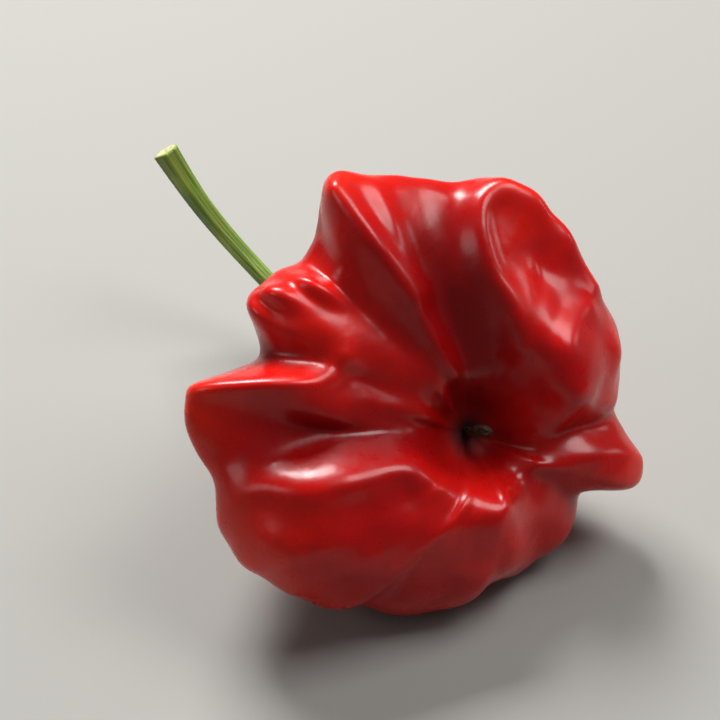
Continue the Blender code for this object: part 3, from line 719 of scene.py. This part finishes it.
STALK_GRID = (150, 80)
CAP_ROWS = 14
tube = tube_surface(STALK_PATH, STALK_RADII, *STALK_GRID, stalk_profile, CAP_ROWS)
rows, points_round = tube.shape[:2]
last_ring = rows - CAP_ROWS - 2
ring_place = np.minimum(np.arange(rows) / last_ring, 1)
cut_place = np.clip((np.arange(rows) - last_ring) / CAP_ROWS, 0, 1) * 2
along = np.repeat(ring_place[:, None], points_round, axis=1)
# across the streaks the pattern is read on a circle's sine, so it meets itself at the seam
around = np.repeat(4 * np.abs(np.sin(np.linspace(0, np.pi, points_round)))[None, :], rows, axis=0)
cut = np.repeat(cut_place[:, None], points_round, axis=1)
stalk = skin("stalk_skin", tube, green_stalk(), (("along", along), ("around", around), ("cut", cut)))
dress(stalk, "stalk")

# %% [markdown]
# ## The dried style
# The flower's style stays in the pit and shrivels to a crooked black-brown thread with a knob. It is a tube like
# the stalk, but it is pinched along its length and its furrows spiral, as they do when a soft thing dries.

# %% Dried style skin
STYLE_PATH = ((0.0, 0.0, 0.55), (0.1, 0.1, 1.35), (0.3, 0.3, 2.3), (0.8, 0.4, 3.3), (1.2, 0.1, 4.2))
STYLE_RADII = (0.50, 0.56, 0.44, 0.48, 0.68, 0.48)
STYLE_GRID = (60, 48)
DRY_BLACK, DRY_BROWN = "#1c1109", "#4a331c"


def style_profile(angle, t):
    """One plus three straight ridges, five that spiral up the style, and a pinch that comes and goes."""
    return 1 + 0.12 * np.cos(3 * angle) + 0.10 * np.cos(5 * angle + 7 * t) + 0.08 * math.sin(23 * t)


def dry_style():
    """Dried flower remnant: black-brown, rough, with a faint paler crust."""
    material, tree, shader = blank("dried_style")
    where = add(tree, "ShaderNodeTexCoord").outputs["Object"]
    crust = add(tree, "ShaderNodeTexNoise", {"Vector": where, "Scale": per_mm(0.4), "Detail": 4.0}).outputs["Fac"]
    brown = mix(tree, between(tree, crust, 0.4, 0.7), paint(DRY_BLACK), paint(DRY_BROWN))
    relief = add(tree, "ShaderNodeBump", {"Height": crust, "Strength": 0.8, "Distance": 0.1 * MM})
    tree.links.new(brown, shader.inputs["Base Color"])
    tree.links.new(relief.outputs["Normal"], shader.inputs["Normal"])
    shader.inputs["Roughness"].default_value = 0.8
    return material


path = [(x + PIT[0], y + PIT[1], z) for x, y, z in ((0.0, 0.0, -0.1),) + STYLE_PATH]
thread = tube_surface(path, STYLE_RADII, *STYLE_GRID, style_profile)
style = skin("dried_style_skin", thread, dry_style())
dress(style, "dried_style")

# %% [markdown]
# ## Floor and light
# The pod is glossy, so what it mirrors matters as much as what shines on it. One soft box behind and above puts
# bright edges along the tops of the ridges and lets the front of the lower lobe fall into its own dark red, as
# daylight from above does. A larger, dimmer one overhead at the right is mirrored as the broad soft patch on the
# right lobe, and two weak ones at the sides keep the flanks readable. The floor is pale but not white, so that it
# doesn't throw too much light back up at the pod.

# %% Floor, lamps and background
FLOOR_GREY = "#8f8d88"
FLOOR_HALF = 2.0
# name, place and width in metres, and watts of each soft box
SOFT_BOXES = (
    ("key_box", (0.00, 0.34, 0.40), 0.20, 4.6),
    ("top_box", (0.27, -0.03, 0.475), 0.28, 2.0),
    ("right_box", (0.47, -0.06, 0.20), 0.10, 0.15),
    ("left_box", (-0.43, -0.02, 0.27), 0.20, 0.3),
)
AIM = Vector((0.0, -0.008, 0.020))
WORLD_STRENGTH = 0.11


def pale_floor():
    """Plain pale painted board: matt, no pattern."""
    material, _, shader = blank("pale_floor")
    shader.inputs["Base Color"].default_value = paint(FLOOR_GREY)
    shader.inputs["Roughness"].default_value = 0.7
    return material


floor_mesh = bpy.data.meshes.new("floor")
corners = [(x * FLOOR_HALF, y * FLOOR_HALF, 0) for x, y in ((-1, -1), (1, -1), (1, 1), (-1, 1))]
floor_mesh.from_pydata(corners, [], [(0, 1, 2, 3)])
floor_mesh.materials.append(pale_floor())
floor = bpy.data.objects.new("floor", floor_mesh)
bpy.context.scene.collection.objects.link(floor)


def soft_box(name, spot, width, watts):
    """A square area lamp at the spot, turned to face the pepper."""
    lamp = bpy.data.lights.new(name, "AREA")
    lamp.size = width
    lamp.energy = watts
    made = bpy.data.objects.new(name, lamp)
    bpy.context.scene.collection.objects.link(made)
    made.location = spot
    made.rotation_euler = (AIM - made.location).to_track_quat("-Z", "Y").to_euler()
    print(name, "at", spot, "watts", watts)


for name, spot, width, watts in SOFT_BOXES:
    soft_box(name, spot, width, watts)
world = bpy.data.worlds.new("studio")
world.use_nodes = True
world.node_tree.nodes["Background"].inputs["Color"].default_value = (1.0, 1.0, 1.0, 1.0)
world.node_tree.nodes["Background"].inputs["Strength"].default_value = WORLD_STRENGTH
bpy.context.scene.world = world
bpy.context.scene.view_settings.view_transform = "Standard"

# %% [markdown]
# ## Camera
# The photographed pod looks at the camera from a little below and to its right. The laid pod looks up and
# forward, so the camera looks down on it from the front left until the star face is seen at the same slant. A long
# lens from a hand's reach away keeps the near lobes from growing.

# %% Camera at the photo's slant
VIEW_AZIMUTH = -20.0
VIEW_ELEVATION = 43.7
VIEW_DISTANCE = 0.36
LOOK_AT = Vector((-0.003, -0.008, 0.0205))
SENSOR_WIDTH = 36.0
LENS = 160.0
camera = bpy.data.objects.new("camera", bpy.data.cameras.new("camera"))
bpy.context.scene.collection.objects.link(camera)
bpy.context.scene.camera = camera
camera.data.sensor_width = SENSOR_WIDTH
camera.data.lens = LENS
camera.data.clip_start = 0.01
a, e = math.radians(VIEW_AZIMUTH), math.radians(VIEW_ELEVATION)
back = Vector((math.sin(a) * math.cos(e), -math.cos(a) * math.cos(e), math.sin(e)))
camera.location = LOOK_AT + back * VIEW_DISTANCE
camera.rotation_euler = (-back).to_track_quat("-Z", "Y").to_euler()
print("camera at", tuple(round(c, 3) for c in camera.location))
